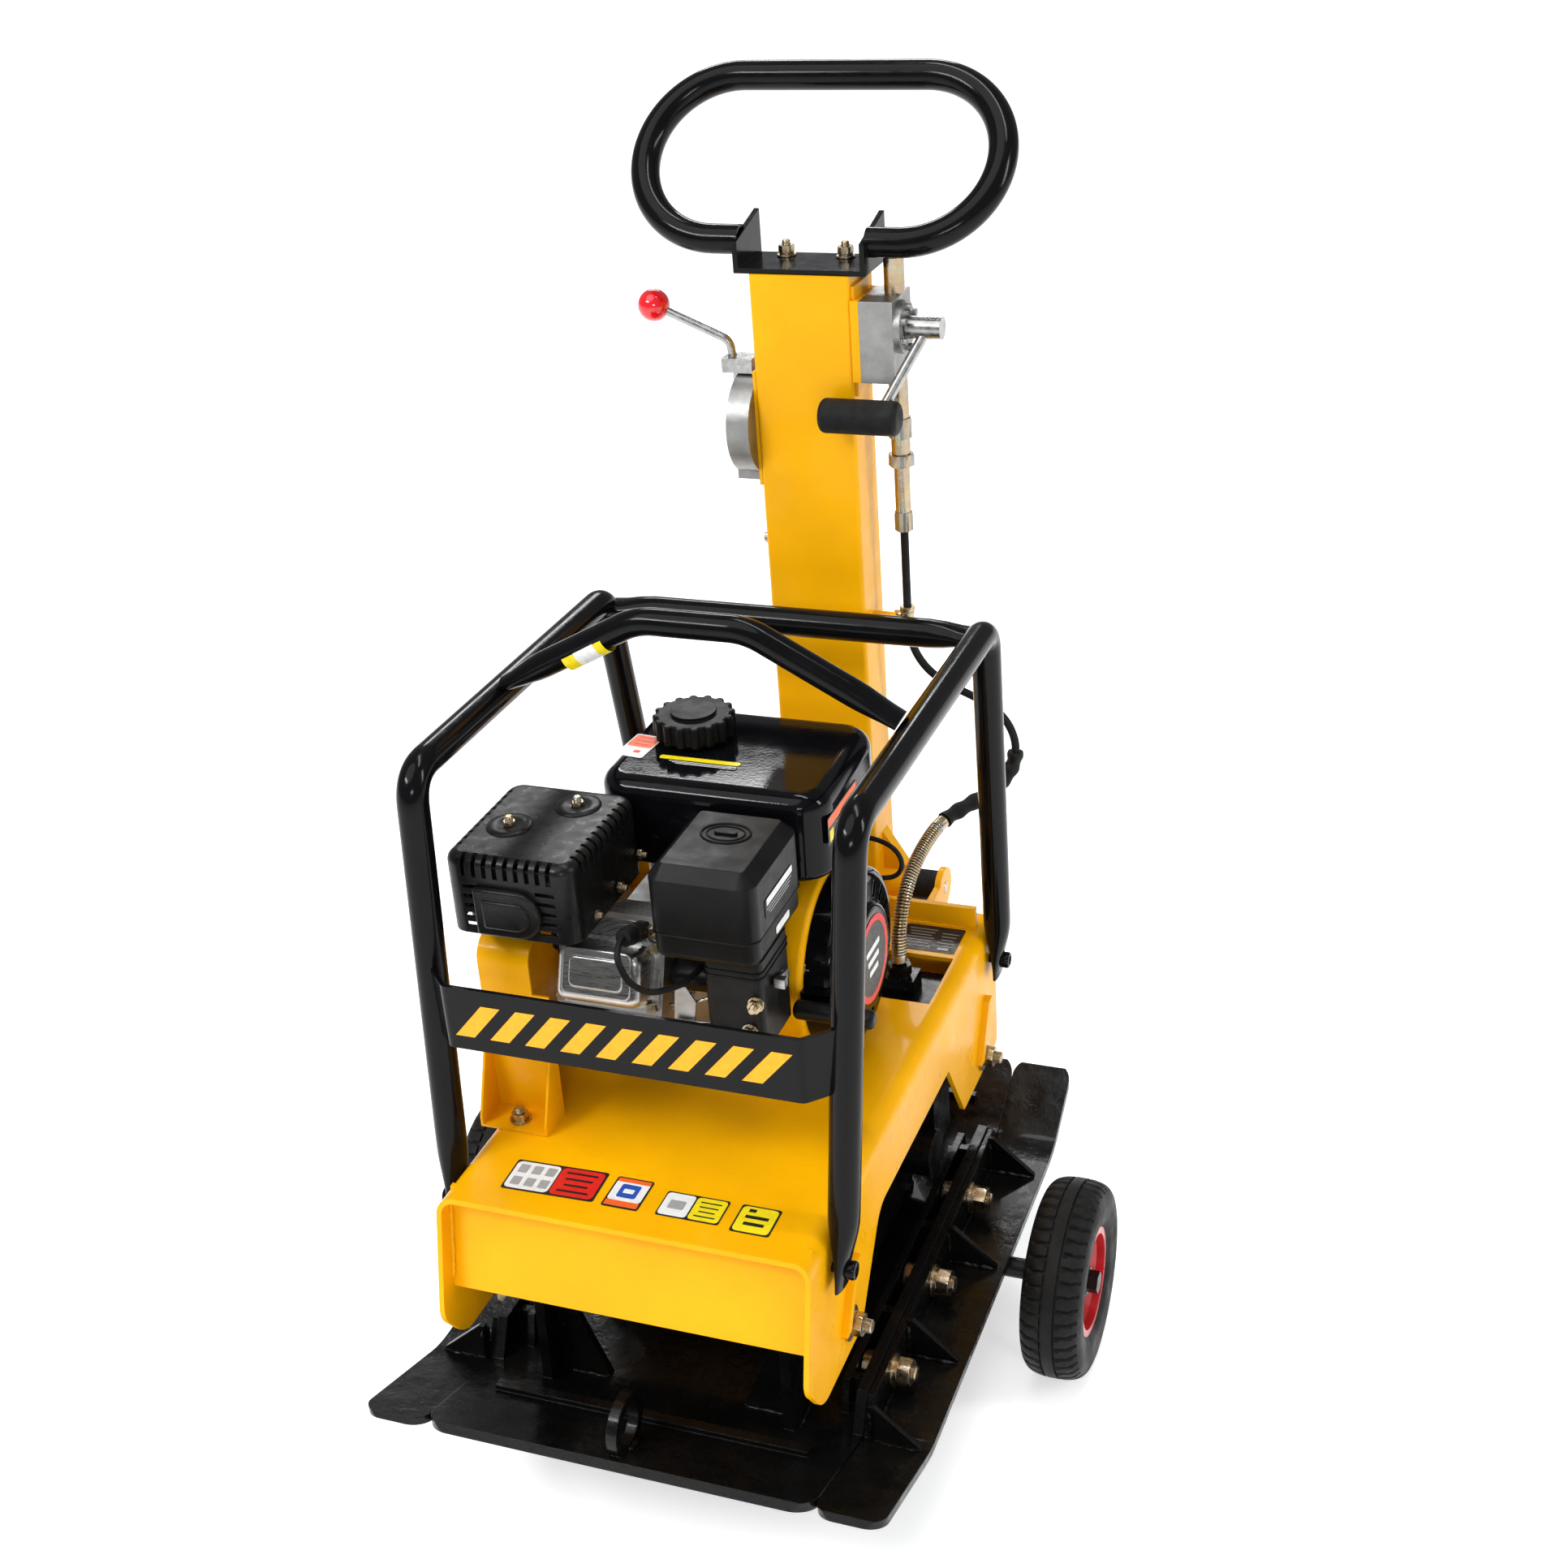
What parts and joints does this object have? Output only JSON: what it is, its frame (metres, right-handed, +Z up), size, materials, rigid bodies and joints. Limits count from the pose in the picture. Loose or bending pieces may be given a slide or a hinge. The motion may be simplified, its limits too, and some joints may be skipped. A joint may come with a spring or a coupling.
{
  "type": "plate compactor",
  "caption": "Reversible vibratory plate compactor with petrol engine in a tubular guard, folding handle with hydraulic reversing lever, and a two-wheel transport set.",
  "frame": {"origin": "ground level under the middle of the machine's overall length and width", "axes": "+X to the machine's right as the operator faces it from behind, +Y to the rear where the operator stands, +Z up"},
  "size_m": [0.819, 0.9604, 1.4659],
  "materials": {
    "yellow_paint": "gloss",
    "black_paint": "gloss",
    "plate_black": "semi-gloss",
    "black_enamel": "gloss",
    "satin_black": "satin",
    "zinc_steel": "satin",
    "machined_steel": "satin",
    "forged_steel": "matte",
    "exciter_casting": "satin",
    "cast_aluminium": "matte",
    "bright_aluminium": "polished",
    "rubber": "matte",
    "tyre": "matte",
    "red_paint": "gloss",
    "black_plastic": "satin",
    "red_plastic": "gloss",
    "cast_iron": "satin"
  },
  "bodies": {
    "base": {"base_plate": "plate_black", "extension_left": "plate_black", "extension_right": "plate_black", "extension_bolts": "zinc_steel", "exciter_housing": "exciter_casting", "exciter_covers": "exciter_casting", "exciter_bearings": "machined_steel", "shift_cylinder": "exciter_casting", "rubber_mounts": "rubber", "wheel_cradle": "plate_black", "wheel_axle": "satin_black"},
    "exciter_front": {"exciter_front_shaft": "forged_steel", "exciter_pulley": "cast_iron"},
    "exciter_rear": {"exciter_rear_shaft": "forged_steel"},
    "rear_weight": {"exciter_rear_weight": "forged_steel"},
    "shift_piston": {"shift_piston": "machined_steel"},
    "wheel_left": {"wheel_rim_left": "red_paint", "tyre_left": "tyre"},
    "wheel_right": {"wheel_rim_right": "red_paint", "tyre_right": "tyre"},
    "deck": {"deck": "yellow_paint", "deck_bolts": "zinc_steel", "guard_hoop_left": "black_paint", "guard_hoop_right": "black_paint", "guard_bars": "black_paint", "guard_plate": "black_paint", "crankcase": "cast_aluminium", "cylinder": "cast_aluminium", "valve_cover": "bright_aluminium", "spark_plug": "rubber", "muffler": "satin_black", "muffler_shield": "satin_black", "air_cleaner_cover": "black_plastic", "air_cleaner_base": "black_plastic", "carburettor": "black_plastic", "fuel_tank": "black_enamel", "blower_housing": "yellow_paint", "recoil_housing": "black_enamel", "drive_belt": "rubber", "belt_cover": "yellow_paint", "hydraulic_hose": "rubber", "hose_sleeve": "rubber", "throttle_cable": "rubber"},
    "crank": {"crankshaft": "forged_steel", "clutch_pulley": "cast_iron"},
    "fuel_cap": {"fuel_cap": "black_plastic"},
    "choke_lever": {"choke_lever": "machined_steel"},
    "starter_grip": {"starter_grip": "black_plastic"},
    "handle": {"pole": "yellow_paint", "hinge_bushes": "rubber", "handle_loop": "black_paint", "handle_bolts": "zinc_steel", "throttle_quadrant": "cast_aluminium", "pump_block": "cast_aluminium", "hose_upper": "rubber"},
    "throttle_lever": {"throttle_lever": "machined_steel", "throttle_knob": "red_plastic"},
    "reversing_lever": {"reversing_lever": "zinc_steel", "reversing_grip": "rubber"},
    "pump_rack": {"pump_rack": "machined_steel"}
  },
  "joints": [
    {"name": "exciter_front_spin", "type": "hinge", "parent": "base", "child": "exciter_front", "pos_m": [0, -0.03923, 0.235], "axis": [1, 0, 0], "continuous": true},
    {"name": "exciter_rear_spin", "type": "hinge", "parent": "base", "child": "exciter_rear", "pos_m": [0, 0.08077, 0.235], "axis": [1, 0, 0], "continuous": true},
    {"name": "rear_weight_shift", "type": "hinge", "parent": "exciter_rear", "child": "rear_weight", "pos_m": [0, 0.08077, 0.235], "axis": [1, 0, 0], "range_deg": [0, 180]},
    {"name": "piston_shift", "type": "slide", "parent": "base", "child": "shift_piston", "axis": [1, 0, 0], "range_m": [0, 0.016]},
    {"name": "wheel_left_roll", "type": "hinge", "parent": "base", "child": "wheel_left", "pos_m": [-0.372, 0.03277, 0.12], "axis": [1, 0, 0], "continuous": true},
    {"name": "wheel_right_roll", "type": "hinge", "parent": "base", "child": "wheel_right", "pos_m": [0.372, 0.03277, 0.12], "axis": [1, 0, 0], "continuous": true},
    {"name": "deck_bounce", "type": "slide", "parent": "base", "child": "deck", "axis": [0, 0, 1], "range_m": [-0.004, 0.004], "stiffness_N_per_m": 300000, "springref_m": 0.0026, "deforming": ["drive_belt", "hose_sleeve"]},
    {"name": "crank_spin", "type": "hinge", "parent": "deck", "child": "crank", "pos_m": [0, -0.01423, 0.569], "axis": [1, 0, 0], "continuous": true},
    {"name": "fuel_cap_turn", "type": "hinge", "parent": "deck", "child": "fuel_cap", "pos_m": [-0.06, 0.04077, 0.815], "axis": [0, 0, 1], "range_deg": [0, 90]},
    {"name": "choke_swing", "type": "hinge", "parent": "deck", "child": "choke_lever", "pos_m": [0.12, -0.16323, 0.633], "axis": [1, 0, 0], "range_deg": [0, 45]},
    {"name": "starter_pull", "type": "slide", "parent": "deck", "child": "starter_grip", "axis": [0, -1, 0], "range_m": [0, 0.45], "stiffness_N_per_m": 20, "springref_m": -0.1},
    {"name": "handle_tilt", "type": "hinge", "parent": "deck", "child": "handle", "pos_m": [0, 0.33477, 0.462], "axis": [-1, 0, 0], "range_deg": [0, 55]},
    {"name": "throttle_swing", "type": "hinge", "parent": "handle", "child": "throttle_lever", "pos_m": [-0.095, 0.33477, 1.075], "axis": [-1, 0, 0], "range_deg": [0, 70]},
    {"name": "reversing_swing", "type": "hinge", "parent": "handle", "child": "reversing_lever", "pos_m": [0.1, 0.32677, 1.197], "axis": [-1, 0, 0], "range_deg": [0, 116]},
    {"name": "rack_slide", "type": "slide", "parent": "handle", "child": "pump_rack", "axis": [0, 0, -1], "range_m": [0, 0.0244]}
  ],
  "couplings": [
    {"joint": "exciter_rear_spin", "follows": "exciter_front_spin", "ratio": -1},
    {"joint": "crank_spin", "follows": "exciter_front_spin", "ratio": 0.87037},
    {"joint": "rack_slide", "follows": "reversing_swing", "m_per_rad": 0.012},
    {"joint": "piston_shift", "follows": "reversing_swing", "m_per_rad": 0.007895},
    {"joint": "rear_weight_shift", "follows": "reversing_swing", "ratio": 1.5516}
  ]
}
